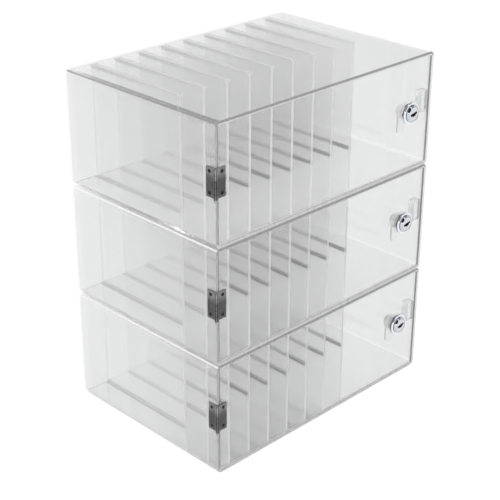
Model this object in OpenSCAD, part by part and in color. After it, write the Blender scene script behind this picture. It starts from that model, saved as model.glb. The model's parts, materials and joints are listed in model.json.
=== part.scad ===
// Three clear acrylic lock boxes, stacked, each with upright phone slots.
// Units are millimetres. +Z is up, the doors face -Y and the hinges are at -X.
// The origin is at the middle of the stack's underside.

/* [Boxes] */
// Outside width of a box
box_w = 292; // [230:1:420]
// Outside depth of a box
box_d = 202; // [150:1:300]
// Outside height of a box
box_h = 117; // [95:1:160]
// Thickness of the bent sheet
sheet_t = 2.5; // [2:0.5:6]
// Outside radius of the bends
bend_r = 5.5; // [5:0.5:12]
// Thickness of the back panel
back_t = 3; // [2.5:0.5:6]

/* [Dividers] */
// Number of dividers in a box
divider_count = 9; // [3:1:10]
// Thickness of a divider
divider_t = 3; // [2:0.5:5]
// Distance from the front of a box to its dividers
divider_setback = 77; // [45:1:110]

/* [Door] */
// Thickness of a door
door_t = 3; // [2.5:0.5:6]
// Gap between a door and the shell around it
door_gap = 0.8; // [0.6:0.1:1.6]
// How far a closed door stands in front of the shell's front edges
door_proud = 0.3; // [0.2:0.1:1]

/* [Hinge] */
// Length of a hinge
hinge_len = 28; // [24:1:50]
// Height of the hinge's middle above the middle of its box
hinge_rise = 4; // [-8:0.5:8]
// Distance from the pin's axis to the outer edge of a leaf
leaf_w = 12.4; // [12:0.1:20]
// Thickness of a leaf
leaf_t = 1; // [0.8:0.1:1.2]
// Radius of a leaf's outer corners
leaf_corner_r = 0.8; // [0.4:0.1:2]
// Distance of the pin's axis from the wall and from the door's front
pin_out = 1.6; // [1.5:0.1:2]
// Radius of the pin
pin_r = 1; // [0.8:0.05:1.1]
// Running clearance between the pin and the door's knuckles
pin_fit = 0.05; // [0.02:0.01:0.1]
// Outside radius of the knuckles
knuckle_r = 1.85; // [1.7:0.05:2]
// Number of knuckles in a hinge
knuckle_count = 5; // [3:2:7]
// Gap between a knuckle and what is next to it
knuckle_gap = 0.3; // [0.2:0.05:0.5]
// Radius of the pin's end caps
pin_cap_r = 1.45; // [1.2:0.05:1.6]
// Length of the cap that shows under the hinge
pin_tip_len = 2.4; // [1:0.2:4]
// Length of the cap on top of the hinge
pin_top_len = 0.8; // [0.4:0.2:3]

/* [Hinge screws] */
// Radius of a screw's shank
screw_r = 1; // [0.8:0.1:1.2]
// Radius of a screw's countersunk head
screw_head_r = 1.8; // [1.5:0.1:2]
// Depth of a screw's head
screw_head_t = 0.8; // [0.6:0.1:0.8]
// Clearance around a screw
screw_fit = 0.05; // [0.02:0.01:0.1]
// Distance between the two screws of a leaf
screw_pitch = 20; // [14:1:20]
// Distance from a screw to the outer edge of its leaf
screw_edge = 4.2; // [2.5:0.1:4.4]
// Sheet left under the tip of a screw
screw_cover = 0.8; // [0.4:0.1:1.5]
// Length of the cross in a screw's head
cross_len = 2.4; // [1.6:0.1:2.8]
// Depth of the cross in a screw's head
cross_depth = 0.45; // [0.2:0.05:0.5]
// Width of a slot of the cross
cross_w = 0.5; // [0.3:0.05:0.6]

/* [Lock] */
// Distance from the lock's axis to the right side of its box
lock_in = 31; // [28:1:60]
// Height of the lock's axis above the middle of its box
lock_rise = 2; // [-8:0.5:8]
// Radius of the flange
flange_r = 11.5; // [10.5:0.5:14]
// Thickness of the flange
flange_t = 1.4; // [1:0.1:3]
// Radius of the raised face
face_r = 9; // [8.5:0.1:10]
// Height of the raised face above the flange
face_h = 2.6; // [2:0.1:5]
// Chamfer on the edges of the flange and the face
lock_edge = 0.5; // [0.2:0.1:0.6]
// Radius of the barrel
barrel_r = 8; // [7.8:0.1:8.5]
// Width of the barrel across its two flats
barrel_flats = 14.6; // [14.4:0.1:15.4]
// Length of the barrel from the door's front
barrel_len = 12; // [11:0.5:20]
// Clearance between the barrel and the door
barrel_fit = 0.2; // [0.1:0.05:0.4]
// Width of the nut across its flats
nut_flats = 19; // [19:0.5:21]
// Thickness of the nut
nut_t = 2; // [2:0.5:4]
// Clearance between the nut and the barrel
nut_fit = 0.1; // [0.05:0.05:0.2]

/* [Lock plug and cam] */
// Radius of the plug
plug_r = 6; // [5.6:0.1:6.2]
// Radius of the plug's front rim
plug_rim_r = 6.9; // [6.7:0.1:7]
// Thickness of the plug's front rim
plug_rim_t = 1.5; // [1:0.1:2]
// Running clearance around the plug
plug_fit = 0.05; // [0.02:0.01:0.1]
// Depth of the plug's front behind the raised face
plug_recess = 0.3; // [0.2:0.1:0.8]
// Width of the keyway
keyway_w = 9.6; // [7:0.1:10]
// Height of the keyway
keyway_h = 2.6; // [1.6:0.1:3]
// Depth of the keyway
keyway_depth = 8; // [4:0.5:8]
// Angle of the keyway, whose right end is higher
keyway_turn = 12; // [0:1:30]
// Width of the plug's square tail
tail_w = 7; // [6:0.5:7]
// Clearance between the tail and the cam
tail_fit = 0.05; // [0.02:0.01:0.1]
// Gap between the barrel's end and the cam
cam_gap = 0.2; // [0.2:0.1:0.5]
// Thickness of the cam
cam_t = 2; // [1.5:0.5:3]
// Width of the cam's arm
cam_w = 9; // [6:0.5:10]
// Radius of the cam's hub
cam_hub_r = 6.8; // [6.5:0.1:8]
// Length of the cam that lies behind the keeper when locked
cam_overlap = 6; // [4:0.5:8]
// Radius of the cam screw's head
cam_screw_head_r = 4.6; // [4:0.1:5]
// Thickness of the cam screw's head
cam_screw_head_t = 1.8; // [1:0.1:3]
// Radius of the cam screw's shank
cam_screw_r = 1.5; // [1:0.1:2]
// Length of the cam screw's shank
cam_screw_len = 5; // [4:0.5:6]
// Width of the slot in the cam screw's head
cam_slot_w = 1; // [0.6:0.1:1.4]
// Depth of the slot in the cam screw's head
cam_slot_depth = 0.8; // [0.4:0.1:0.8]

/* [Keeper] */
// Width of the keeper, out from the wall
keeper_w = 10; // [8:0.5:14]
// Height of the keeper above the lock's axis
keeper_above = 17; // [10:1:24]
// Height of the keeper below the lock's axis
keeper_below = 5; // [5:0.5:12]
// Gap between the keeper and the back of the closed door
keeper_front_gap = 0.5; // [0.4:0.1:1.5]
// Gap between the keeper and the locked cam
keeper_cam_gap = 1; // [0.5:0.1:2]

/* [Hidden] */
TIERS = ["bottom", "middle", "top"];
PIECES = [
    "shell", "back_panel", "dividers", "keeper",
    "wall_leaf", "hinge_pin", "wall_leaf_screws",
    "door", "door_leaf", "door_leaf_screws",
    "lock_body", "lock_nut", "lock_plug", "lock_cam", "cam_screw"
];

// Smoothness of round surfaces
$fn = 48;
// Extra length of a cutting shape, so that it passes right through
past = 1;
// How much rounder the back panel's corners are than the bends around them
corner_ease = 0.5;
// Least radius of a door's corners
least_r = 0.3;

acrylic = [0.86, 0.88, 0.9, 0.35];
divider_tint = [0.78, 0.8, 0.82, 0.6];
keeper_tint = [0.6, 0.68, 0.64];
hinge_metal = [0.36, 0.36, 0.37];
screw_metal = [0.14, 0.14, 0.15];
chrome = [0.78, 0.8, 0.83];
zinc = [0.7, 0.71, 0.7];

// Inside of the shell
inner_w = box_w - 2 * sheet_t;
inner_h = box_h - 2 * sheet_t;
inner_r = bend_r - sheet_t;
inner_right = box_w / 2 - sheet_t;
// The back panel's corners are rounder than the bends, so only the flats touch
back_corner_r = inner_r + corner_ease;
back_front_y = box_d / 2 - back_t;

// Slots between the dividers
slot_w = (inner_w - divider_count * divider_t) / (divider_count + 1);
divider_pitch = slot_w + divider_t;
divider_front_y = -box_d / 2 + divider_setback;

// Door
door_front_y = -box_d / 2 - door_proud;
door_back_y = door_front_y + door_t;
door_w = inner_w - 2 * door_gap;
door_h = inner_h - 2 * door_gap;
door_corner_r = max(inner_r - door_gap, least_r);

// Hinge, about its pin's axis
pin_x = -box_w / 2 - pin_out;
pin_y = door_front_y - pin_out;
leaf_in = pin_out - leaf_t;
knuckle_len = (hinge_len - (knuckle_count - 1) * knuckle_gap) / knuckle_count;
knuckle_pitch = knuckle_len + knuckle_gap;
screw_out = leaf_w - screw_edge;
// The two leaves meet at right angles, so each clears the other's corner too
knuckle_room_r = max(knuckle_r, norm([pin_out, pin_out])) + knuckle_gap;

// Lock, about its own axis
lock_x = box_w / 2 - lock_in;
lock_front = -flange_t - face_h;
cam_front = barrel_len + cam_gap;
cam_back = cam_front + cam_t;
lock_to_wall = inner_right - lock_x;
cam_reach = lock_to_wall - keeper_w + cam_overlap;
keeper_front_y = door_back_y + keeper_front_gap;
keeper_back_y = door_front_y + cam_front - keeper_cam_gap;

// Height of the underside of a box
function base_z(tier) = tier * box_h;

// Height of the middle of a box
function middle_z(tier) = base_z(tier) + box_h / 2;

// Outline with round corners, centred in X and standing on Y = 0
module round_outline(w, h, r) {
    translate([-w / 2, r]) square([w, h - 2 * r]);
    translate([-w / 2 + r, 0]) square([w - 2 * r, h]);
    for (side = [-1, 1])
        for (up = [r, h - r])
            translate([side * (w / 2 - r), up]) circle(r);
}

// Round-cornered slab that stands in XZ and runs from y0 to y1
module upright_slab(w, h, r, y0, y1) {
    translate([0, y1, 0])
        rotate([90, 0, 0])
            linear_extrude(y1 - y0) round_outline(w, h, r);
}

// Box centred on the Z axis, from z0 to z1
module column(w, d, z0, z1) {
    translate([-w / 2, -d / 2, z0]) cube([w, d, z1 - z0]);
}

// Disc on the Z axis from z0 to z1
module disc(r, z0, z1) {
    translate([0, 0, z0]) cylinder(r = r, h = z1 - z0);
}

// Disc from z0 to z1 whose edge at z0 is chamfered
module chamfered_disc(r, z0, z1, edge) {
    translate([0, 0, z0]) cylinder(r1 = r - edge, r2 = r, h = edge);
    disc(r, z0 + edge, z1);
}

// Puts a shape made about the hinge pin at a box's hinge
module at_hinge(tier) {
    translate([pin_x, pin_y, middle_z(tier) + hinge_rise]) children();
}

// Puts a shape made along +Z at a box's lock, with +Z into the box
module at_lock(tier) {
    translate([lock_x, door_front_y, middle_z(tier) + lock_rise])
        rotate([-90, 0, 0]) children();
}

// Repeats a shape at the two screws of a leaf that lies along +X
module at_leaf_screws() {
    for (side = [-1, 1])
        translate([screw_out, leaf_in, side * screw_pitch / 2])
            rotate([-90, 0, 0]) children();
}

// Lays the door's leaf, which lies along +X, over as the wall's leaf, along +Y
module along_wall() {
    mirror([1, -1, 0]) children();
}

// Countersunk screw along +Z with its head's top at Z = 0
module countersunk(r, head_r, head_t, length) {
    cylinder(r1 = head_r, r2 = r, h = head_t);
    disc(r, 0, length);
}

module screw_hole(length) {
    countersunk(screw_r + screw_fit, screw_head_r + screw_fit, screw_head_t, length);
}

module leaf_screw(length) {
    difference() {
        countersunk(screw_r, screw_head_r, screw_head_t, length);
        for (turn = [0, 90])
            rotate([0, 0, turn])
                column(cross_len, cross_w, -past, cross_depth);
    }
}

// Knuckles with an even number from below when odd = 0, else the others
module knuckles(odd, r, grow) {
    for (i = [odd : 2 : knuckle_count - 1]) {
        low = -hinge_len / 2 + i * knuckle_pitch;
        disc(r, low - grow, low + knuckle_len + grow);
    }
}

// Leaf along +X with every second knuckle, starting from the lowest when odd = 0
module leaf(odd) {
    r = leaf_corner_r;
    difference() {
        union() {
            difference() {
                translate([0, pin_out, -hinge_len / 2])
                    rotate([90, 0, 0])
                        linear_extrude(leaf_t) leaf_outline(r);
                knuckles(1 - odd, knuckle_room_r, knuckle_gap);
            }
            knuckles(odd, knuckle_r, 0);
        }
        disc(pin_r + pin_fit, -hinge_len, hinge_len);
        at_leaf_screws() screw_hole(leaf_t + past);
    }
}

// Outline of a leaf: square at the pin, round at the two outer corners
module leaf_outline(r) {
    square([leaf_w - r, hinge_len]);
    translate([0, r]) square([leaf_w, hinge_len - 2 * r]);
    for (up = [r, hinge_len - r])
        translate([leaf_w - r, up]) circle(r);
}

// Barrel with two flats, grown by a clearance, from z0 to z1
module flatted_barrel(grow, z0, z1) {
    intersection() {
        disc(barrel_r + grow, z0, z1);
        column(4 * barrel_r, barrel_flats + 2 * grow, z0, z1);
    }
}

// Sheet bent round into left side, top, right side and bottom
module shell(tier) {
    color(acrylic)
        difference() {
            translate([0, 0, base_z(tier)])
                difference() {
                    upright_slab(box_w, box_h, bend_r, -box_d / 2, box_d / 2);
                    translate([0, 0, sheet_t])
                        upright_slab(inner_w, inner_h, inner_r,
                            -box_d / 2 - past, box_d / 2 + past);
                }
            at_hinge(tier) along_wall() at_leaf_screws()
                disc(screw_r + screw_fit, 0, leaf_t + sheet_t - screw_cover);
        }
}

// Panel that closes the back, flush with the shell's back edges
module back_panel(tier) {
    color(acrylic)
        translate([0, 0, base_z(tier) + sheet_t])
            upright_slab(inner_w, inner_h, back_corner_r, back_front_y, box_d / 2);
}

// Upright panels from floor to roof, back to the back panel
module dividers(tier) {
    color(divider_tint)
        for (i = [1 : divider_count])
            translate([-inner_w / 2 + i * divider_pitch - divider_t,
                    divider_front_y, base_z(tier) + sheet_t])
                cube([divider_t, back_front_y - divider_front_y, inner_h]);
}

// Block on the right wall that stops the door and holds the locked cam
module keeper(tier) {
    color(keeper_tint)
        translate([inner_right - keeper_w, keeper_front_y,
                middle_z(tier) + lock_rise - keeper_below])
            cube([keeper_w, keeper_back_y - keeper_front_y, keeper_above + keeper_below]);
}

// Hinge leaf on the outside of the left wall, with the end knuckles
module wall_leaf(tier) {
    color(hinge_metal) at_hinge(tier) along_wall() leaf(0);
}

// Pin with a cap at each end
module hinge_pin(tier) {
    color(hinge_metal)
        at_hinge(tier) {
            disc(pin_r, -hinge_len / 2, hinge_len / 2);
            disc(pin_cap_r, hinge_len / 2, hinge_len / 2 + pin_top_len);
            disc(pin_cap_r, -hinge_len / 2 - pin_tip_len, -hinge_len / 2);
        }
}

// Two screws that hold the leaf on the wall
module wall_leaf_screws(tier) {
    color(screw_metal)
        at_hinge(tier) along_wall() at_leaf_screws()
            leaf_screw(leaf_t + sheet_t - screw_cover);
}

// Door with a hole for the lock's barrel and blind holes for the leaf's screws
module door(tier) {
    color(acrylic)
        difference() {
            translate([0, 0, base_z(tier) + sheet_t + door_gap])
                upright_slab(door_w, door_h, door_corner_r, door_front_y, door_back_y);
            at_lock(tier) flatted_barrel(barrel_fit, -past, door_t + past);
            at_hinge(tier) at_leaf_screws()
                disc(screw_r + screw_fit, 0, leaf_t + door_t - screw_cover);
        }
}

// Hinge leaf on the front of the door, with the knuckles between the wall's
module door_leaf(tier) {
    color(hinge_metal) at_hinge(tier) leaf(1);
}

// Two screws that hold the leaf on the door
module door_leaf_screws(tier) {
    color(screw_metal)
        at_hinge(tier) at_leaf_screws() leaf_screw(leaf_t + door_t - screw_cover);
}

// Flange and raised face in front of the door, barrel through it
module lock_body(tier) {
    color(chrome)
        at_lock(tier)
            difference() {
                union() {
                    chamfered_disc(face_r, lock_front, 0, lock_edge);
                    chamfered_disc(flange_r, -flange_t, 0, lock_edge);
                    flatted_barrel(0, 0, barrel_len);
                }
                disc(plug_r + plug_fit, lock_front - past, barrel_len + past);
                disc(plug_rim_r + plug_fit, lock_front - past,
                    lock_front + plug_recess + plug_rim_t + plug_fit);
            }
}

// Hexagon nut that clamps the lock body from behind the door
module lock_nut(tier) {
    color(zinc)
        at_lock(tier)
            translate([0, 0, door_t])
                difference() {
                    cylinder(d = nut_flats / cos(30), h = nut_t, $fn = 6);
                    disc(barrel_r + nut_fit, -past, nut_t + past);
                }
}

// Turning core with a keyway in front and a square tail for the cam
module lock_plug(tier) {
    front = lock_front + plug_recess;
    color(chrome)
        at_lock(tier)
            difference() {
                union() {
                    disc(plug_rim_r, front, front + plug_rim_t);
                    disc(plug_r, front, cam_front);
                    column(tail_w, tail_w, cam_front, cam_back);
                }
                rotate([0, 0, -keyway_turn])
                    column(keyway_w, keyway_h, front - past, front + keyway_depth);
                disc(cam_screw_r, cam_back - cam_screw_len, cam_back + past);
            }
}

// Cam plate, which hangs down when unlocked
module lock_cam(tier) {
    color(zinc)
        at_lock(tier)
            difference() {
                union() {
                    disc(cam_hub_r, cam_front, cam_back);
                    translate([-cam_w / 2, 0, cam_front])
                        cube([cam_w, cam_reach - cam_w / 2, cam_t]);
                    translate([0, cam_reach - cam_w / 2, 0])
                        disc(cam_w / 2, cam_front, cam_back);
                }
                column(tail_w + 2 * tail_fit, tail_w + 2 * tail_fit,
                    cam_front - past, cam_back + past);
            }
}

// Slotted screw that holds the cam on the plug's tail
module cam_screw(tier) {
    color(zinc)
        at_lock(tier)
            difference() {
                union() {
                    disc(cam_screw_r, cam_back - cam_screw_len, cam_back);
                    disc(cam_screw_head_r, cam_back, cam_back + cam_screw_head_t);
                }
                column(4 * cam_screw_head_r, cam_slot_w,
                    cam_back + cam_screw_head_t - cam_slot_depth,
                    cam_back + cam_screw_head_t + past);
            }
}

for (tier = [0 : len(TIERS) - 1]) {
    shell(tier);
    back_panel(tier);
    dividers(tier);
    keeper(tier);
    wall_leaf(tier);
    hinge_pin(tier);
    wall_leaf_screws(tier);
    door(tier);
    door_leaf(tier);
    door_leaf_screws(tier);
    lock_body(tier);
    lock_nut(tier);
    lock_plug(tier);
    lock_cam(tier);
    cam_screw(tier);
}
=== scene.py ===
"""Looks of the stacked clear acrylic locker boxes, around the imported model. Units are metres."""
import json
import math

import bmesh
import bpy
from mathutils import Matrix, Vector

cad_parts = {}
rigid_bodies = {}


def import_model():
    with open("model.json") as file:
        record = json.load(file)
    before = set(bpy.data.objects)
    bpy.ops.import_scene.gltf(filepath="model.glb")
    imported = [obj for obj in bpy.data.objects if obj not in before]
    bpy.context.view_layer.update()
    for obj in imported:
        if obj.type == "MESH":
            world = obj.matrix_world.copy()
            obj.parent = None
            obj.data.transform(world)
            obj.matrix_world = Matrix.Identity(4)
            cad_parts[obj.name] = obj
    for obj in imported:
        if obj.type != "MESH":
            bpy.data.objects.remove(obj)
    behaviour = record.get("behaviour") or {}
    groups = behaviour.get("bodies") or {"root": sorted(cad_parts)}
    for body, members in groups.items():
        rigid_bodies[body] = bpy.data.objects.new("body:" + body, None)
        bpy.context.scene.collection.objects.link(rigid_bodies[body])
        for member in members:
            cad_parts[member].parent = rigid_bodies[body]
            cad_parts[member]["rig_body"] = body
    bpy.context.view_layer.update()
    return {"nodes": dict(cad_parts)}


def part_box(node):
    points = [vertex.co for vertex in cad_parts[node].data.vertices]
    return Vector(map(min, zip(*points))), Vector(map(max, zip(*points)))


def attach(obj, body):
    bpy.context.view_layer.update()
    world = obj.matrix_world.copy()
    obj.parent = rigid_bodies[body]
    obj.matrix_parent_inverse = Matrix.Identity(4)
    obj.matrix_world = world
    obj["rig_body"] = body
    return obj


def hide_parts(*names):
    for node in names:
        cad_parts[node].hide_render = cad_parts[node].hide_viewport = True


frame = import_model()

TIERS = ("bottom", "middle", "top")
MM = 0.001
STACK_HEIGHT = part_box("shell_top")[1][2]
# Fronts of the doors and of the raised lock faces, the same in all three boxes
DOOR_FRONT_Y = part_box("door_top")[0][1]
LOCK_FRONT_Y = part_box("lock_body_top")[0][1]

scene = bpy.context.scene
scene.view_settings.view_transform = "Standard"
# Light crosses a dozen clear sheets, two surfaces each
scene.cycles.max_bounces = 48
scene.cycles.transmission_bounces = 48
scene.cycles.glossy_bounces = 24
scene.cycles.diffuse_bounces = 4
scene.cycles.transparent_max_bounces = 32

# Camera
PICTURE_PX = 500
SENSOR_W_MM = 36
CAMERA_AZIMUTH = -44.86
CAMERA_ELEVATION = 25.68
CAMERA_ROLL = 0.26
CAMERA_FOCAL_PX = 1272
CAMERA_PLACE = (-0.8221, -0.8221, 0.7098)
CAMERA_CLIP_START = 0.05


def make_camera():
    azimuth = math.radians(CAMERA_AZIMUTH)
    elevation = math.radians(CAMERA_ELEVATION)
    roll = math.radians(CAMERA_ROLL)
    back = Vector((
        math.sin(azimuth) * math.cos(elevation),
        -math.cos(azimuth) * math.cos(elevation),
        math.sin(elevation),
    ))
    right = (-back).cross(Vector((0, 0, 1))).normalized()
    up = right.cross(-back)
    rolled_right = right * math.cos(roll) + up * math.sin(roll)
    rolled_up = up * math.cos(roll) - right * math.sin(roll)
    data = bpy.data.cameras.new("camera")
    data.sensor_width = SENSOR_W_MM
    data.lens = CAMERA_FOCAL_PX / PICTURE_PX * SENSOR_W_MM
    data.clip_start = CAMERA_CLIP_START
    camera = bpy.data.objects.new("camera", data)
    turn = Matrix((rolled_right, rolled_up, back)).transposed()
    camera.matrix_world = Matrix.Translation(CAMERA_PLACE) @ turn.to_4x4()
    scene.collection.objects.link(camera)
    scene.camera = camera


make_camera()


# Shader helpers
# Values between which nearly all of a noise lies
NOISE_SPREAD = (0.3, 0.7)


def rgb(r, g=None, b=None):
    return (r, r if g is None else g, r if b is None else b, 1.0)


class Nodes:
    """A node tree, with short ways to add and join nodes. A value may be a number or a socket."""

    def __init__(self, tree):
        self.nodes = tree.nodes
        self.links = tree.links
        self.nodes.clear()
        self.coordinates = self.nodes.new("ShaderNodeTexCoord").outputs

    def put(self, socket, value):
        """Joins value to the socket if it is a socket itself, or else sets it."""
        if isinstance(value, bpy.types.NodeSocket):
            self.links.new(value, socket)
        else:
            socket.default_value = value

    def add(self, kind, inputs, **settings):
        """Outputs of a new node with these settings, and with these inputs put in."""
        node = self.nodes.new(f"ShaderNode{kind}")
        for name, setting in settings.items():
            setattr(node, name, setting)
        for key, value in inputs.items():
            self.put(node.inputs[key], value)
        return node.outputs

    def math(self, operation, a, b=0.0, clamp=False):
        return self.add("Math", {0: a, 1: b}, operation=operation, use_clamp=clamp)[0]

    def product(self, first, *others):
        for other in others:
            first = self.math("MULTIPLY", first, other)
        return first

    def mapped(self, value, low, high, to_low, to_high):
        """Value stretched from low and high to to_low and to_high, and held between them."""
        limits = {"From Min": low, "From Max": high, "To Min": to_low, "To Max": to_high}
        return self.add("MapRange", {"Value": value, **limits})[0]

    def rises(self, value, low, high):
        return self.mapped(value, low, high, 0.0, 1.0)

    def falls(self, value, low, high):
        return self.mapped(value, low, high, 1.0, 0.0)

    def spread(self, noise, low, high):
        """Noise stretched so that nearly all of it lies from low to high."""
        return self.mapped(noise, *NOISE_SPREAD, low, high)

    def split(self, vector):
        return self.add("SeparateXYZ", {0: vector})

    def along(self, vector, way):
        """How far the vector reaches along the way."""
        return self.add("VectorMath", {0: vector, 1: way}, operation="DOT_PRODUCT")["Value"]

    def axes(self, kind):
        """X, Y and Z of Object, Generated or Normal coordinates."""
        return self.split(self.coordinates[kind])

    def facing(self, way, low, high):
        """Mask of the faces that point one way, such as +Z or -X, or both ways along an axis, such as Y.

        It rises where the normal's part along the axis goes from low to high.
        """
        part = self.axes("Normal")["XYZ".index(way[-1])]
        if way[0] == "-":
            return self.rises(part, -low, -high)
        if way[0] == "+":
            return self.rises(part, low, high)
        return self.rises(self.math("ABSOLUTE", part), low, high)

    def rays(self, *kinds):
        """1 for a ray of one of these kinds, and 0 for any other."""
        outputs = self.add("LightPath", {})
        found = outputs[kinds[0]]
        for kind in kinds[1:]:
            found = self.math("MAXIMUM", found, outputs[kind])
        return found

    def noise(self, scale, detail=3.0, roughness=0.55, stretch=(1, 1, 1)):
        place = self.add("Mapping", {"Vector": self.coordinates["Object"], "Scale": stretch})[0]
        shape = {"Scale": scale, "Detail": detail, "Roughness": roughness}
        return self.add("TexNoise", {"Vector": place, **shape})["Fac"]

    def bump(self, height, distance, strength):
        return self.add("Bump", {"Height": height, "Distance": distance, "Strength": strength})["Normal"]

    def grey(self, shade):
        return self.add("CombineColor", {0: shade, 1: shade, 2: shade})[0]

    def colour_mix(self, share, a, b, blend="MIX"):
        inputs = {"Factor": share, "A": a, "B": b}
        outputs = self.add("Mix", inputs, data_type="RGBA", blend_type=blend)
        return next(output for output in outputs if output.type == "RGBA")

    def value_mix(self, share, a, b):
        return self.add("Mix", {"Factor": share, "A": a, "B": b})[0]

    def mixed(self, share, a, b):
        """Mix of two shaders."""
        return self.add("MixShader", {0: share, 1: a, 2: b})[0]

    def principled(self, **sockets):
        inputs = {name.replace("_", " "): value for name, value in sockets.items()}
        return self.add("BsdfPrincipled", inputs)[0]

    def transparent(self, share):
        return self.add("BsdfTransparent", {"Color": rgb(share)})[0]


class Shader(Nodes):
    """The nodes of a new material."""

    def __init__(self, name):
        self.material = bpy.data.materials.new(name)
        self.material.use_nodes = True
        super().__init__(self.material.node_tree)

    def finish(self, surface):
        self.add("OutputMaterial", {"Surface": surface})
        return self.material


# Clear acrylic
# Refraction of acrylic, and of the thin sheets
ACRYLIC_IOR = 1.49
SHEET_IOR = 1.08
SHEET_COAT_ROUGHNESS = 0.08
# Light that lamps send through one face of a clear sheet
LIGHT_SHARE = 0.975
# Light that goes straight through a thin bright edge
CLEAR_SHARE = 0.96
# How much each face of a shell's bottom sheet and sides veils what is behind it
HAZE = {"floor_inside": 0.96, "floor_under": 0.3, "side": 0.08}
# How much light goes straight through a bend, and how much the painted line along its outer face covers.
# The line is a pale painted highlight in the low boxes and a grey painted reflection in the top one.
BEND = {"clear": 0.35, "low_line": 0.65, "top_line": 0.55, "low_tone": 0.93, "top_tone": 0.2}
# Painted shade: darker tints of the outer face of the left wall, and of both faces of the top sheet
LEFT_WALL_PAINTED_SHADE = 0.885
LID_PAINTED_SHADE = 0.93
# Heights between which the looks change to those of the top box
TOP_BOX_Z = (0.25, 0.3)
# Where masks over a shell start and end, as shares of its width, depth or height
SHELL_ZONES = {
    "right": (0.4, 0.6),
    "lowest_edge": (0.02, 0.05),
    "bottom_sheet": (0.05, 0.08),
    "upper": (0.5, 0.7),
    "lid": (0.9, 0.95),
    "highest_edge": (0.95, 0.98),
    "back_end": (0.98, 0.99),
}
# Where masks by a shell's slope start and end. On a bend, the slope is the product of the normal's X and Z.
SHELL_SLOPES = {
    "cut_edge": (0.75, 0.9),
    "back_rim": (0.1, 0.3),
    "wall": (0.8, 0.9),
    "hazy": (0.8, 0.95),
    "upwards": (0.0, 0.1),
    "bend": (0.005, 0.06),
    "painted_bend_line": (0.45, 0.49),
}
# Tones of the milky bottom sheets and how much they mirror.
# Painted shade makes them duller between the dividers than in the open part beside the lock, and darker in
# the bottom box.
MILKY = {"low_tone": 0.84, "tone": 0.88, "open_tone": 0.97, "mirror": 0.76, "open_mirror": 0.88}
MIRROR_TONE = 0.98
OPEN_PART_X = (0.06, 0.12)
# Heights between which their painted shade fades, leaving the bottom box's sheet darker
PAINTED_SHADE_Z = (0.0, 0.1)
# Strips of the back panel that look like its edges, by distance from its middle line and by height
BACK_STRIPS = {"side": (0.478, 0.484), "top": (0.94, 0.955)}
# Where the masks of flat panels start and end, by their slope
PANEL_FACE = (0.5, 0.7)
PANEL_EDGE = (0.5, 0.8)
# Where the dividers' back edges and the thinning of their veil start and end, as shares of their depth
DIVIDER_BACK = (0.97, 0.99)
DIVIDER_THINNING = (0.95, 1.0)


def glass(s, tint, rough, sheet=True):
    """Clear acrylic. A sheet is so thin that it hardly bends the light, but it shines like the rest."""
    return s.principled(
        Base_Color=tint,
        Roughness=rough,
        Transmission_Weight=1.0,
        IOR=SHEET_IOR if sheet else ACRYLIC_IOR,
        Coat_Weight=1.0 if sheet else 0.0,
        Coat_Roughness=SHEET_COAT_ROUGHNESS,
        Coat_IOR=ACRYLIC_IOR,
    )


def lit_through(s, surface):
    """The surface as it is, but lamps shine through it."""
    return s.mixed(s.rays("Is Shadow Ray"), surface, s.transparent(LIGHT_SHARE))


def sheet_roughness(s):
    """Faint smudges on a polished sheet."""
    return s.mapped(s.noise(14, 4.0, 0.6), 0.55, 0.8, 0.0, 0.1)


def painted_bend_line(s, tone):
    """Painted light along the middle of a bend: a rough grey line in the tone given, which stands in for
    what the bend reflects.
    """
    painted_line_streaks = s.noise(120, 3.0, 0.6, (1, 0.05, 1))
    return s.principled(
        Base_Color=s.grey(s.product(s.spread(painted_line_streaks, 0.97, 1.03), tone)),
        Roughness=s.spread(painted_line_streaks, 0.3, 0.45),
    )


def milky(s):
    """Scuffed, milky face of a bottom sheet, which mirrors what stands on it, with painted shade in its
    tone.
    """
    scuff = s.noise(60, 5.0, 0.7)
    place = s.axes("Object")
    # Painted shade: darker in the bottom box, and between the dividers than in the open part
    open_part = s.rises(place[0], *OPEN_PART_X)
    painted_tier_shade = s.mapped(place[2], *PAINTED_SHADE_Z, MILKY["low_tone"], MILKY["tone"])
    shade = s.math("ADD", s.spread(scuff, -0.02, 0.02), s.value_mix(open_part, painted_tier_shade, MILKY["open_tone"]))
    diffuse_with_painted_shade = s.principled(Base_Color=s.grey(shade), Roughness=s.spread(scuff, 0.3, 0.5))
    mirror = s.principled(
        Base_Color=rgb(MIRROR_TONE),
        Roughness=s.mapped(scuff, 0.4, 0.8, 0.0, 0.03),
        Metallic=1.0,
    )
    return s.mixed(s.value_mix(open_part, MILKY["mirror"], MILKY["open_mirror"]), diffuse_with_painted_shade, mirror)


def cut_edge(s, tone):
    """Sawn and polished edge of a clear sheet, which gathers light and looks almost solid. Its tone is
    painted light and shade.
    """
    saw = s.noise(900, 2.0, 0.5, (1, 0.15, 0.15))
    return s.principled(
        Base_Color=s.grey(s.product(s.spread(saw, 0.94, 1.06), tone)),
        Roughness=s.spread(saw, 0.2, 0.35),
    )


def shell_colour(s, tint):
    """Tint of a shell, with painted shade that makes the outside of its left wall and its top sheet darker.
    """
    place = s.axes("Generated")
    left = s.falls(place[0], *SHELL_ZONES["right"])
    left_wall = s.product(s.facing("-X", *SHELL_SLOPES["wall"]), left)
    lid = s.product(s.facing("Z", *SHELL_SLOPES["wall"]), s.rises(place[2], *SHELL_ZONES["lid"]))
    colour = s.colour_mix(left_wall, rgb(*tint), rgb(*(c * LEFT_WALL_PAINTED_SHADE for c in tint)))
    return s.colour_mix(lid, colour, rgb(*(c * LID_PAINTED_SHADE for c in tint)))


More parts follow.
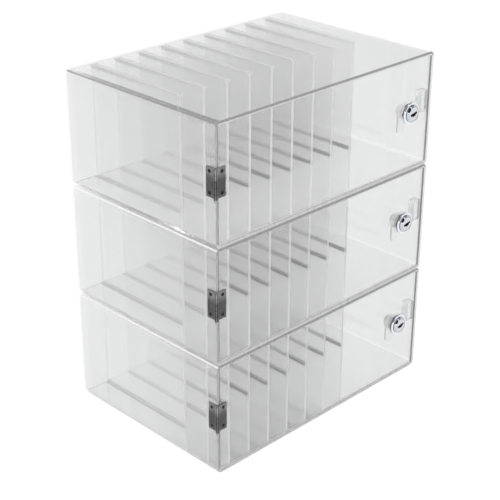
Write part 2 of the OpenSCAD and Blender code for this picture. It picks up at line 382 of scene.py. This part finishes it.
def shell_haze(s):
    """How much the faces of a shell's bottom sheet and sides veil what is behind them."""
    on_floor = s.product(s.facing("+Z", *SHELL_SLOPES["hazy"]), HAZE["floor_inside"])
    under = s.product(s.facing("-Z", *SHELL_SLOPES["hazy"]), HAZE["floor_under"])
    side = s.product(s.facing("X", *SHELL_SLOPES["hazy"]), HAZE["side"])
    low = s.falls(s.axes("Generated")[2], *SHELL_ZONES["bottom_sheet"])
    return s.math("ADD", s.product(low, s.math("ADD", on_floor, under)), side)


def with_bends(s, sheet):
    """The sheet with clearer bends, and with a painted reflection along the outer face of the upper ones.
    """
    normal = s.axes("Normal")
    slope = s.math("ABSOLUTE", s.product(normal[0], normal[2]))
    bend = s.product(s.rises(slope, *SHELL_SLOPES["bend"]), BEND["clear"])
    sheet = s.mixed(bend, sheet, s.transparent(CLEAR_SHARE))
    top_box = s.rises(s.axes("Object")[2], *TOP_BOX_Z)
    # Painted reflection along the upper bends: pale in the low boxes, grey in the top one
    line = s.product(
        s.rises(slope, *SHELL_SLOPES["painted_bend_line"]),
        s.rises(s.axes("Generated")[2], *SHELL_ZONES["upper"]),
        s.facing("+Z", *SHELL_SLOPES["upwards"]),
        s.value_mix(top_box, BEND["low_line"], BEND["top_line"]),
    )
    return s.mixed(line, sheet, painted_bend_line(s, s.value_mix(top_box, BEND["low_tone"], BEND["top_tone"])))


def bent_shell(name, tint, tones):
    """Clear bent sheet. Its cut front edges have painted tones of light and shade, set by place, and its
    back edges are clear.
    """
    s = Shader(name)
    place = s.axes("Generated")
    # Painted light and shade on the cut edges: one tone for the left, one for the right, others for the
    # lowest and highest edges
    tone = s.value_mix(s.rises(place[0], *SHELL_ZONES["right"]), tones["left"], tones["right"])
    tone = s.value_mix(s.falls(place[2], *SHELL_ZONES["lowest_edge"]), tone, tones["low"])
    tone = s.value_mix(s.rises(place[2], *SHELL_ZONES["highest_edge"]), tone, tones["high"])
    sheet = s.mixed(shell_haze(s), glass(s, shell_colour(s, tint), sheet_roughness(s)), milky(s))
    back_end = s.rises(place[1], *SHELL_ZONES["back_end"])
    back = s.product(back_end, s.facing("Y", *SHELL_SLOPES["back_rim"]))
    edge = s.math("MAXIMUM", s.facing("Y", *SHELL_SLOPES["cut_edge"]), back)
    rim = s.mixed(back, cut_edge(s, tone), s.transparent(CLEAR_SHARE))
    return s.finish(lit_through(s, s.mixed(edge, with_bends(s, sheet), rim)))


def flat_panel(name, tint, tones, edge_cover, rim_clear=0.0):
    """Clear panel that faces Y, with cut edges all round.

    rim_clear is how much of its edges and of a strip beside them lets the light straight through.
    """
    s = Shader(name)
    face = s.facing("Y", *PANEL_FACE)
    # Painted light and shade on the cut edges: the edges that face left get a tone of their own
    tone = s.value_mix(s.facing("-X", *PANEL_EDGE), tones["other"], tones["left"])
    clear_sheet = glass(s, rgb(*tint), sheet_roughness(s))
    sheet = s.mixed(s.value_mix(face, edge_cover, 0.0), clear_sheet, cut_edge(s, tone))
    place = s.axes("Generated")
    off_middle = s.math("ABSOLUTE", s.math("SUBTRACT", place[0], 0.5))
    sides = s.rises(off_middle, *BACK_STRIPS["side"])
    rim = s.product(s.math("MAXIMUM", sides, s.rises(place[2], *BACK_STRIPS["top"])), rim_clear)
    return s.finish(lit_through(s, s.mixed(rim, sheet, s.transparent(CLEAR_SHARE))))


def hazy_panel(name, veil, cover, tones, edge_cover):
    """Hazy divider that faces X. Its faces lay a thin grey veil over what is behind them.

    The veil is paler in the low boxes, which get less light, and thins out at the back.
    """
    s = Shader(name)
    face = s.facing("X", *PANEL_FACE)
    # Painted light and shade on the edges: a tone for the front edges, a dark one for the feet as painted
    # shade, and one for the rest
    tone = s.value_mix(s.facing("-Y", *PANEL_EDGE), tones["other"], tones["front"])
    tone = s.value_mix(s.facing("-Z", *PANEL_EDGE), tone, tones["foot"])
    cloud = s.noise(9, 3.0, 0.5)
    grain = s.noise(1400, 2.0, 0.5)
    level = s.mapped(s.axes("Object")[2], 0.0, STACK_HEIGHT, veil["low"], veil["high"])
    veiled = s.product(s.spread(cloud, 0.97, 1.03), level)
    depth = s.axes("Generated")[1]
    edge_alpha = s.mapped(depth, *DIVIDER_BACK, edge_cover["other"], edge_cover["back"])
    thinning = s.mapped(depth, *DIVIDER_THINNING, 1.0, 0.3)
    face_alpha = s.product(s.spread(cloud, cover * 0.93, cover * 1.07), thinning)
    return s.finish(s.principled(
        Base_Color=s.grey(s.value_mix(face, tone, veiled)),
        Roughness=s.spread(grain, 0.25, 0.4),
        Alpha=s.value_mix(face, edge_alpha, face_alpha),
        Normal=s.bump(grain, 0.01 * MM, 0.4),
    ))


def keeper_block(name, tint, side_tint):
    """Block with a sawn, greenish side and clear front and back."""
    s = Shader(name)
    rough = s.spread(s.noise(700, 2.0, 0.5), 0.05, 0.2)
    low = s.mapped(s.axes("Generated")[2], 0.6, 0.75, 1.0, 0.2)
    side = s.product(s.facing("-X", 0.6, 0.8), low)
    colour = s.colour_mix(side, rgb(*tint), rgb(*side_tint))
    return s.finish(lit_through(s, glass(s, colour, rough, sheet=False)))


def cement(name, tones, covers):
    """Cement in a tone for the foot and one for the head of a divider, darkened by painted shade along
    them, with end faces that catch the light as a painted highlight.

    Along the head it covers less towards the front.
    """
    s = Shader(name)
    place = s.axes("Generated")
    drops = s.noise(260, 3.0, 0.6)
    end = s.facing("Y", 0.6, 0.8)
    head = s.rises(place[2], 0.4, 0.6)
    # Painted shade along the feet, lighter under the dividers on the left, and a painted highlight on the
    # end faces
    foot_tone = s.value_mix(s.rises(place[0], 0.2, 0.24), tones["left_foot"], tones["foot"])
    tone = s.value_mix(end, s.value_mix(head, foot_tone, tones["head"]), tones["end"])
    head_cover = s.mapped(place[1], 0.1, 1.0, covers["head_front"], covers["head_back"])
    cover = s.product(s.value_mix(head, covers["foot"], head_cover), s.spread(drops, 0.85, 1.15))
    return s.finish(s.principled(
        Base_Color=s.grey(s.product(s.spread(drops, 0.88, 1.12), tone)),
        Roughness=s.spread(drops, 0.15, 0.3),
        Alpha=s.value_mix(end, cover, covers["end"]),
    ))


# Metals
# Direction in which the outer side of the hinges points
HINGE_WAY = Vector((-1, -1, 0)).normalized()
# Square of the distance from a lock's axis where the flange's tint starts, as a share of the flange's width
FLANGE_FROM = (0.156, 0.166)
# How far behind the door's front the plain plating of the barrel starts
BARREL_FROM = (-0.1 * MM, 0.3 * MM)
# How far behind the face of the lock the painted shade that blackens the keyway starts and ends
KEYWAY_SHADE_FROM = (0.5 * MM, 0.7 * MM)
KEYWAY_SHADE_TO = (8.9 * MM, 9.1 * MM)


def metal(name, colour, variation, rough, streak_stretch, streak_scale):
    """Metal with streaks or grain in its colour, roughness and surface."""
    s = Shader(name)
    streaks = s.noise(streak_scale, 3.0, 0.6, streak_stretch)
    patches = s.noise(180, 3.0, 0.6)
    dark = rgb(*(c * (1 - variation) for c in colour))
    light = rgb(*(min(1.0, c * (1 + variation)) for c in colour))
    tone = s.product(s.math("ADD", streaks, patches), 0.5)
    return s.finish(s.principled(
        Base_Color=s.colour_mix(s.rises(tone, 0.35, 0.65), dark, light),
        Roughness=s.spread(tone, rough * 0.75, rough * 1.25),
        Metallic=1.0,
        Normal=s.bump(streaks, 0.02 * MM, 0.6),
    ))


def hinge_steel(name):
    """Dark brushed steel. A painted sheen makes it paler at the upper end and a little at the lower one, a
    painted highlight runs along the front of the knuckles, and their sides are in painted shade.
    """
    s = Shader(name)
    brushed = s.noise(1500, 3.0, 0.6, (1, 1, 0.1))
    patches = s.noise(180, 3.0, 0.6)
    tone = s.mapped(s.math("ADD", brushed, patches), 0.7, 1.3, 0.09, 0.15)
    height = s.axes("Generated")[2]
    # Painted sheen: paler at the upper end and a little at the lower one
    ends = s.math("ADD", s.mapped(height, 0.6, 0.8, 0.75, 1.7), s.mapped(height, 0.05, 0.2, 0.25, 0.0))
    outwards = s.along(s.coordinates["Normal"], HINGE_WAY)
    # Painted highlight along the front of the knuckles, and painted shade on their sides
    painted_knuckle_highlight = s.mapped(outwards, 0.93, 0.99, 0.0, 0.6)
    side = s.product(s.rises(outwards, 0.72, 0.76), s.falls(outwards, 0.9, 0.95), 0.55)
    shape = s.math("SUBTRACT", s.math("ADD", 1.0, painted_knuckle_highlight), side)
    return s.finish(s.principled(
        Base_Color=s.grey(s.product(tone, ends, shape)),
        Roughness=s.spread(brushed, 0.3, 0.42),
        Metallic=1.0,
        Normal=s.bump(brushed, 0.04 * MM, 0.6),
    ))


def lock_chrome(name, face, flange, barrel):
    """Polished chrome in front of the door, plain plating on the barrel behind it."""
    s = Shader(name)
    place = s.axes("Generated")
    across, up = (s.math("POWER", s.math("SUBTRACT", place[axis], 0.5), 2.0) for axis in (0, 2))
    colour = s.colour_mix(s.rises(s.math("ADD", across, up), *FLANGE_FROM), rgb(*face), rgb(*flange))
    behind = s.rises(s.axes("Object")[1], *(DOOR_FRONT_Y + depth for depth in BARREL_FROM))
    pits = s.noise(700, 3.0, 0.6)
    return s.finish(s.principled(
        Base_Color=s.colour_mix(behind, colour, rgb(*barrel)),
        Roughness=s.value_mix(behind, s.spread(pits, 0.04, 0.08), 0.45),
        Metallic=1.0,
        Normal=s.bump(pits, 0.003 * MM, 0.5),
    ))


def plug_chrome(name, colour):
    """Satin face, with painted shade that makes the walls of its keyway black."""
    s = Shader(name)
    depth = s.math("SUBTRACT", s.axes("Object")[1], LOCK_FRONT_Y)
    # Painted shade: the keyway's walls are black and not metal
    inside = s.product(s.rises(depth, *KEYWAY_SHADE_FROM), s.falls(depth, *KEYWAY_SHADE_TO))
    turned = s.noise(1600, 3.0, 0.6)
    return s.finish(s.principled(
        Base_Color=s.colour_mix(inside, rgb(*colour), rgb(0.004)),
        Roughness=s.value_mix(inside, s.spread(turned, 0.14, 0.24), 0.7),
        Metallic=s.falls(inside, 0.0, 1.0),
        Normal=s.bump(turned, 0.01 * MM, 0.5),
    ))


SHEET_TINT = (0.893, 0.896, 0.899)
ZINC_TINT = (0.93, 0.93, 0.92)
MATERIALS = {
    "shell": bent_shell(
        "clear_acrylic_shell",
        SHEET_TINT,
        {"left": 0.36, "right": 0.66, "low": 0.5, "high": 0.25},
    ),
    "door": flat_panel("clear_acrylic_door", SHEET_TINT, {"left": 0.3, "other": 0.7}, 1.0),
    "back": flat_panel("clear_acrylic_back", SHEET_TINT, {"left": 0.95, "other": 0.95}, 0.15, 0.95),
    "divider": hazy_panel(
        "hazy_acrylic_divider",
        {"low": 0.93, "high": 0.6},
        0.24,
        {"front": 0.69, "foot": 0.35, "other": 0.75},
        {"other": 0.85, "back": 0.25},
    ),
    "keeper": keeper_block("clear_acrylic_keeper", (0.96, 0.975, 0.97), (0.72, 0.78, 0.755)),
    "cement": cement(
        "acrylic_cement_painted_shade",
        {"left_foot": 0.65, "foot": 0.3, "head": 0.4, "end": 0.8},
        {"foot": 0.4, "head_front": 0.06, "head_back": 0.3, "end": 0.8},
    ),
    "hinge": hinge_steel("dark_brushed_hinge"),
    "pin": metal("bare_pin", (0.36, 0.36, 0.37), 0.15, 0.25, (1, 1, 0.2), 1200),
    "screw": metal("black_screw", (0.035, 0.035, 0.038), 0.3, 0.4, (1, 1, 1), 1500),
    "chrome": lock_chrome("polished_chrome", (0.55, 0.58, 0.62), (0.76, 0.78, 0.81), ZINC_TINT),
    "plug": plug_chrome("satin_chrome", (0.62, 0.64, 0.66)),
    "zinc": metal("zinc_plate", ZINC_TINT, 0.06, 0.4, (1, 1, 1), 900),
}


# Pieces with the shape of their CAD node
# Look, record slot, width of the eased edges, and the thin gap that keeps touching sheets apart
FINISHES = {
    "shell": ("shell", "clear_acrylic", 0.0002, 0.00003),
    "back_panel": ("back", "clear_acrylic", 0.0002, 0.00003),
    "dividers": ("divider", "divider_acrylic", 0.0002, 0.00003),
    "keeper": ("keeper", "keeper_acrylic", 0.0004, 0.00003),
    "door": ("door", "clear_acrylic", 0.0002, 0.0),
    "wall_leaf": ("hinge", "hinge_metal", 0.0001, 0.0),
    "door_leaf": ("hinge", "hinge_metal", 0.0001, 0.0),
    "hinge_pin": ("pin", "pin_metal", 0.0002, 0.0),
    "wall_leaf_screws": ("screw", "screw_metal", 0.00006, 0.0),
    "door_leaf_screws": ("screw", "screw_metal", 0.00006, 0.0),
    "lock_nut": ("zinc", "zinc", 0.0002, 0.0),
    "lock_cam": ("zinc", "zinc", 0.00015, 0.0),
    "cam_screw": ("zinc", "zinc", 0.00015, 0.0),
}
SAME_POINT = 0.002 * MM
SAME_PLANE_ANGLE = math.radians(0.4)
EASED_ANGLE = math.radians(32)
EASED_STEPS = 2
FLAT_FACE_WEIGHT = 100


def clean_copy(source, name, gap):
    """Copy of a CAD mesh without its needless edges, drawn in by the gap."""
    mesh = source.data.copy()
    mesh.name = name
    bm = bmesh.new()
    bm.from_mesh(mesh)
    bmesh.ops.remove_doubles(bm, verts=bm.verts, dist=SAME_POINT)
    bmesh.ops.dissolve_limit(bm, angle_limit=SAME_PLANE_ANGLE, verts=bm.verts, edges=bm.edges)
    bm.normal_update()
    if gap:
        moves = [(v, v.normal * v.calc_shell_factor() * gap) for v in bm.verts]
        for vertex, move in moves:
            vertex.co -= move
    bm.to_mesh(mesh)
    bm.free()
    return mesh


def refined(piece, tier):
    """Makes a copy of a CAD piece with its own look and eased edges."""
    look, slot, bevel_w, gap = FINISHES[piece]
    node = f"{piece}_{tier}"
    source = frame["nodes"][node]
    mesh = clean_copy(source, f"{piece}_finished_{tier}", gap)
    mesh.materials.clear()
    mesh.materials.append(MATERIALS[look])
    for polygon in mesh.polygons:
        polygon.use_smooth = True
    piece_object = bpy.data.objects.new(f"{piece}_finished_{tier}", mesh)
    scene.collection.objects.link(piece_object)
    bevel = piece_object.modifiers.new("eased_edges", "BEVEL")
    bevel.width = bevel_w
    bevel.segments = EASED_STEPS
    bevel.limit_method = "ANGLE"
    bevel.angle_limit = EASED_ANGLE
    bevel.use_clamp_overlap = True
    weighted = piece_object.modifiers.new("even_normals", "WEIGHTED_NORMAL")
    weighted.keep_sharp = True
    weighted.weight = FLAT_FACE_WEIGHT
    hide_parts(node)
    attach(piece_object, source["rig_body"])


for tier in TIERS:
    for piece in FINISHES:
        refined(piece, tier)


# Locks, in millimetres
# Lock body: half profile as radius and depth behind the raised face
LOCK_FACE = (
    (7.0, 0.25), (7.05, 0.05), (7.15, 0.0), (7.25, 0.05), (8.92, 1.72), (9.0, 1.85), (9.0, 2.05),
    (8.5, 2.15), (8.5, 2.5), (9.2, 2.6), (10.4, 2.6), (10.9, 2.72), (11.3, 3.05), (11.5, 3.5), (11.5, 3.98),
)
LOCK_BORE = ((6.05, 16.0), (6.05, 1.9), (6.95, 1.9), (6.95, 0.3))
BARREL_DEPTHS = (3.98, 16.0)
BARREL_RADIUS = 8.0
BARREL_HALF_FLATS = 7.3
THREAD_PITCH = 1.0
THREAD_DEPTH = 0.35
# Plug: half profile behind the same raised face, and the square tail
PLUG_FACE_DEPTH = 0.3
PLUG_RINGS = ((6.78, PLUG_FACE_DEPTH), (6.9, 0.42), (6.9, 1.8), (6.0, 1.8), (6.0, 16.2))
TAIL_HALF = 3.5
TAIL_DEPTHS = (16.2, 18.2)
SCREW_HOLE_RADIUS = 1.55
SCREW_HOLE_DEPTH = 13.2
# Keyway: half length and half height of its slot, half length and depth of the lobe under it
KEYWAY_HALF = (4.8, 1.3)
KEYWAY_LOBE = (2.4, 2.5)
KEYWAY_DEPTH = 8.3
KEYWAY_TURN = math.radians(12)

LOCK_STEPS = 72
SHARP_EDGE_ANGLE = math.radians(24)
# Keeps a division clear of zero
TINY = 1e-9


def box_reach(turn, half_w, half_h):
    """Distance from the middle of a rectangle to its side, in the direction turn."""
    return min(half_w / max(abs(math.cos(turn)), TINY), half_h / max(abs(math.sin(turn)), TINY))


def keyway_reach(turn):
    """Distance from the lock's axis to the keyway's wall, in the direction turn."""
    turn -= KEYWAY_TURN
    reach = box_reach(turn, *KEYWAY_HALF)
    if math.sin(turn) < 0:
        reach = max(reach, box_reach(turn, *KEYWAY_LOBE))
    return reach


def tail_reach(turn):
    """Distance from the lock's axis to a side of the square tail."""
    return box_reach(turn, TAIL_HALF, TAIL_HALF)


def ringed(bm, centre, rings, closed):
    """Skin over rings of vertices about the Y axis. Each ring gives its reach for a turn, and its depth."""
    made = []
    for reach, depth in rings:
        ring = []
        for step in range(LOCK_STEPS):
            turn = math.tau * step / LOCK_STEPS
            r = reach(turn) * MM
            ring.append(bm.verts.new(centre + Vector((r * math.cos(turn), depth * MM, r * math.sin(turn)))))
        made.append(ring)
    for i in range(len(made) if closed else len(made) - 1):
        ring, after = made[i], made[(i + 1) % len(made)]
        for step in range(LOCK_STEPS):
            j = (step + 1) % LOCK_STEPS
            bm.faces.new((ring[step], ring[j], after[j], after[step])).smooth = True
    if not closed:
        bm.faces.new(made[0])
        bm.faces.new(made[-1])


def lock_axis(tier):
    """Where the lock's axis meets the front of its raised face."""
    low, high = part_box(f"lock_body_{tier}")
    return Vector(((low[0] + high[0]) / 2, low[1], (low[2] + high[2]) / 2))


def add_turned(piece, tier, rings, closed, look):
    """Makes the skin over the rings into the scene's own piece for a CAD node."""
    node = f"{piece}_{tier}"
    bm = bmesh.new()
    ringed(bm, lock_axis(tier), rings, closed)
    bmesh.ops.recalc_face_normals(bm, faces=bm.faces)
    for edge in bm.edges:
        edge.smooth = edge.calc_face_angle(0.0) < SHARP_EDGE_ANGLE
    mesh = bpy.data.meshes.new(f"{piece}_finished_{tier}")
    bm.to_mesh(mesh)
    bm.free()
    mesh.materials.append(MATERIALS[look])
    turned = bpy.data.objects.new(f"{piece}_finished_{tier}", mesh)
    scene.collection.objects.link(turned)
    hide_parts(node)
    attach(turned, frame["nodes"][node]["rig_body"])


def lock_plug(tier):
    """Turning core: face with a lobed keyway, shank and square tail with its screw hole."""
    rings = [(keyway_reach, KEYWAY_DEPTH), (keyway_reach, PLUG_FACE_DEPTH)]
    rings += [(lambda turn, r=r: r, depth) for r, depth in PLUG_RINGS]
    rings += [(tail_reach, depth) for depth in TAIL_DEPTHS]
    rings += [(lambda turn: SCREW_HOLE_RADIUS, depth) for depth in (TAIL_DEPTHS[1], SCREW_HOLE_DEPTH)]
    add_turned("lock_plug", tier, rings, False, "plug")


def lock_profile():
    """Closed half profile, with True for the points that the flats cut."""
    points = [(r, depth, False) for r, depth in LOCK_FACE]
    depth = BARREL_DEPTHS[0]
    points.append((BARREL_RADIUS, depth, True))
    while depth + THREAD_PITCH < BARREL_DEPTHS[1]:
        points.append((BARREL_RADIUS - THREAD_DEPTH, depth + THREAD_PITCH / 2, True))
        points.append((BARREL_RADIUS, depth + THREAD_PITCH, True))
        depth += THREAD_PITCH
    points.append((BARREL_RADIUS - THREAD_DEPTH, BARREL_DEPTHS[1], True))
    return points + [(r, depth, False) for r, depth in LOCK_BORE]


def flatted(turn, radius):
    """Radius of the barrel where its two flats may cut it."""
    return min(radius, BARREL_HALF_FLATS / max(abs(math.sin(turn)), TINY))


def lock_body(tier):
    """Chromed lock with a bevelled face, a groove above its flange and a threaded barrel."""
    rings = []
    for r, depth, cut in lock_profile():
        rings.append((lambda turn, r=r, cut=cut: flatted(turn, r) if cut else r, depth))
    add_turned("lock_body", tier, rings, True, "chrome")


for tier in TIERS:
    lock_body(tier)
    lock_plug(tier)


# Cement of the dividers
FOOT_CEMENT_LEG = 1.8 * MM
HEAD_CEMENT_LEG = 3.5 * MM
CEMENT_ARC_STEPS = 4


def cement_bead(bm, foot, run, out, up, leg):
    """Bead with a hollow face, from foot along run, filling the corner between the ways out and up."""
    ring = [Vector((0, 0, 0))]
    for step in range(CEMENT_ARC_STEPS + 1):
        turn = math.tau / 4 * step / CEMENT_ARC_STEPS
        ring.append(out * (1 - math.sin(turn)) * leg + up * (1 - math.cos(turn)) * leg)
    ends = [[bm.verts.new(foot + point + shift) for point in ring] for shift in (Vector((0, 0, 0)), run)]
    count = len(ring)
    for i in range(count):
        j = (i + 1) % count
        bm.faces.new((ends[0][i], ends[0][j], ends[1][j], ends[1][i]))
    bm.faces.new(ends[0])
    bm.faces.new(list(reversed(ends[1])))


def divider_sides(mesh):
    """Lowest and highest X of each divider in the mesh, from left to right."""
    xs = sorted({round(v.co.x, 5) for v in mesh.vertices})
    return list(zip(xs[0::2], xs[1::2]))


def divider_beads(tier):
    """Cement along the foot and the head of each divider."""
    low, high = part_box(f"dividers_{tier}")
    run = Vector((0, high[1] - low[1], 0))
    bm = bmesh.new()
    for x0, x1 in divider_sides(frame["nodes"][f"dividers_{tier}"].data):
        for x, way in ((x0, -1), (x1, 1)):
            for z, up, leg in ((low[2], 1, FOOT_CEMENT_LEG), (high[2], -1, HEAD_CEMENT_LEG)):
                cement_bead(bm, Vector((x, low[1], z)), run, Vector((way, 0, 0)), Vector((0, 0, up)), leg)
    bmesh.ops.recalc_face_normals(bm, faces=bm.faces)
    mesh = bpy.data.meshes.new(f"divider_cement_{tier}")
    bm.to_mesh(mesh)
    bm.free()
    mesh.materials.append(MATERIALS["cement"])
    beads = bpy.data.objects.new(f"divider_cement_{tier}", mesh)
    scene.collection.objects.link(beads)
    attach(beads, "cabinet")


for tier in TIERS:
    divider_beads(tier)


# Stage
FLOOR_HALF = 3.0
FLOOR_DROP = 0.2 * MM
# Tone of the floor to soft light, and its tone and glow where it is seen
FLOOR_TONE = 0.8
FLOOR_SHOWN = 0.3
FLOOR_GLOW = 0.82
# Strength of the world's light on surfaces, where what is seen of it is 1
SURROUND_LIGHT = 0.7
# Studio that bare mirrors see: colours below and above, and the heights between which they change
STUDIO_LOW = rgb(0.9)
STUDIO_HIGH = rgb(0.3, 0.33, 0.38)
STUDIO_CHANGE = (0.48, 0.6)
# Dark opening in it, with a bright rim: its direction, and how near to it the rim and the dark start
DARK_WAY = Vector((-0.343, -0.736, 0.553)).normalized()
DARK_TONE = 0.01
DARK_FROM = (0.88, 0.9)
RIM_TONE = rgb(1.9)
RIM_FROM = (0.8, 0.83)
# Point that the lamps face
LAMP_TARGET = (0, 0, 0.17)


def make_floor():
    """Pale floor that is white where it is seen, and keeps the object's shadow."""
    bm = bmesh.new()
    bmesh.ops.create_grid(bm, x_segments=1, y_segments=1, size=FLOOR_HALF)
    mesh = bpy.data.meshes.new("floor")
    bm.to_mesh(mesh)
    bm.free()
    floor = bpy.data.objects.new("floor", mesh)
    floor.location.z = -FLOOR_DROP
    scene.collection.objects.link(floor)
    s = Shader("white_floor")
    seen = s.rays("Is Camera Ray", "Is Glossy Ray", "Is Transmission Ray")
    plain = s.add("BsdfDiffuse", {"Color": rgb(FLOOR_TONE)})[0]
    shown = s.add("BsdfDiffuse", {"Color": rgb(FLOOR_SHOWN)})[0]
    glow = s.add("Emission", {"Strength": FLOOR_GLOW})[0]
    added = s.add("AddShader", {0: shown, 1: glow})[0]
    mesh.materials.append(s.finish(s.mixed(seen, plain, added)))


def make_world():
    """White to the camera and through glass. Mirrors see a studio, blue-grey above, with a dark opening.

    A mirror behind a clear sheet sees the plain white too.
    """
    world = bpy.data.worlds.new("studio")
    world.use_nodes = True
    w = Nodes(world.node_tree)
    way = w.coordinates["Generated"]
    room = w.colour_mix(w.rises(w.split(way)[2], *STUDIO_CHANGE), STUDIO_LOW, STUDIO_HIGH)
    nearness = w.along(way, DARK_WAY)
    rimmed = w.colour_mix(w.rises(nearness, *RIM_FROM), room, RIM_TONE)
    opening = w.mapped(nearness, *DARK_FROM, 1.0, DARK_TONE)
    studio = w.add("Background", {"Color": w.colour_mix(1.0, rimmed, opening, "MULTIPLY")})[0]
    seen = w.rays("Is Camera Ray", "Is Transmission Ray")
    plain = w.add("Background", {"Color": rgb(1.0), "Strength": w.value_mix(seen, SURROUND_LIGHT, 1.0)})[0]
    bare_mirror = w.math("SUBTRACT", w.rays("Is Glossy Ray"), w.rays("Is Transmission Ray"), clamp=True)
    w.add("OutputWorld", {"Surface": w.mixed(bare_mirror, plain, studio)})
    scene.world = world


def make_lamp(name, place, size, power):
    """Soft lamp that gives light, but is itself seen neither in mirrors nor through glass."""
    data = bpy.data.lights.new(name, "AREA")
    data.shape = "RECTANGLE"
    data.size, data.size_y = size
    data.energy = power
    lamp = bpy.data.objects.new(name, data)
    lamp.location = place
    lamp.rotation_euler = (Vector(LAMP_TARGET) - Vector(place)).to_track_quat("-Z", "Y").to_euler()
    lamp.visible_glossy = False
    lamp.visible_transmission = False
    scene.collection.objects.link(lamp)


make_floor()
make_world()
make_lamp("key", (-1.3, -0.5, 1.5), (1.0, 0.8), 9)
make_lamp("fill", (0.5, -1.6, 0.7), (1.2, 1.0), 10)
make_lamp("side", (-1.6, 0.2, 0.5), (1.0, 0.8), 3)
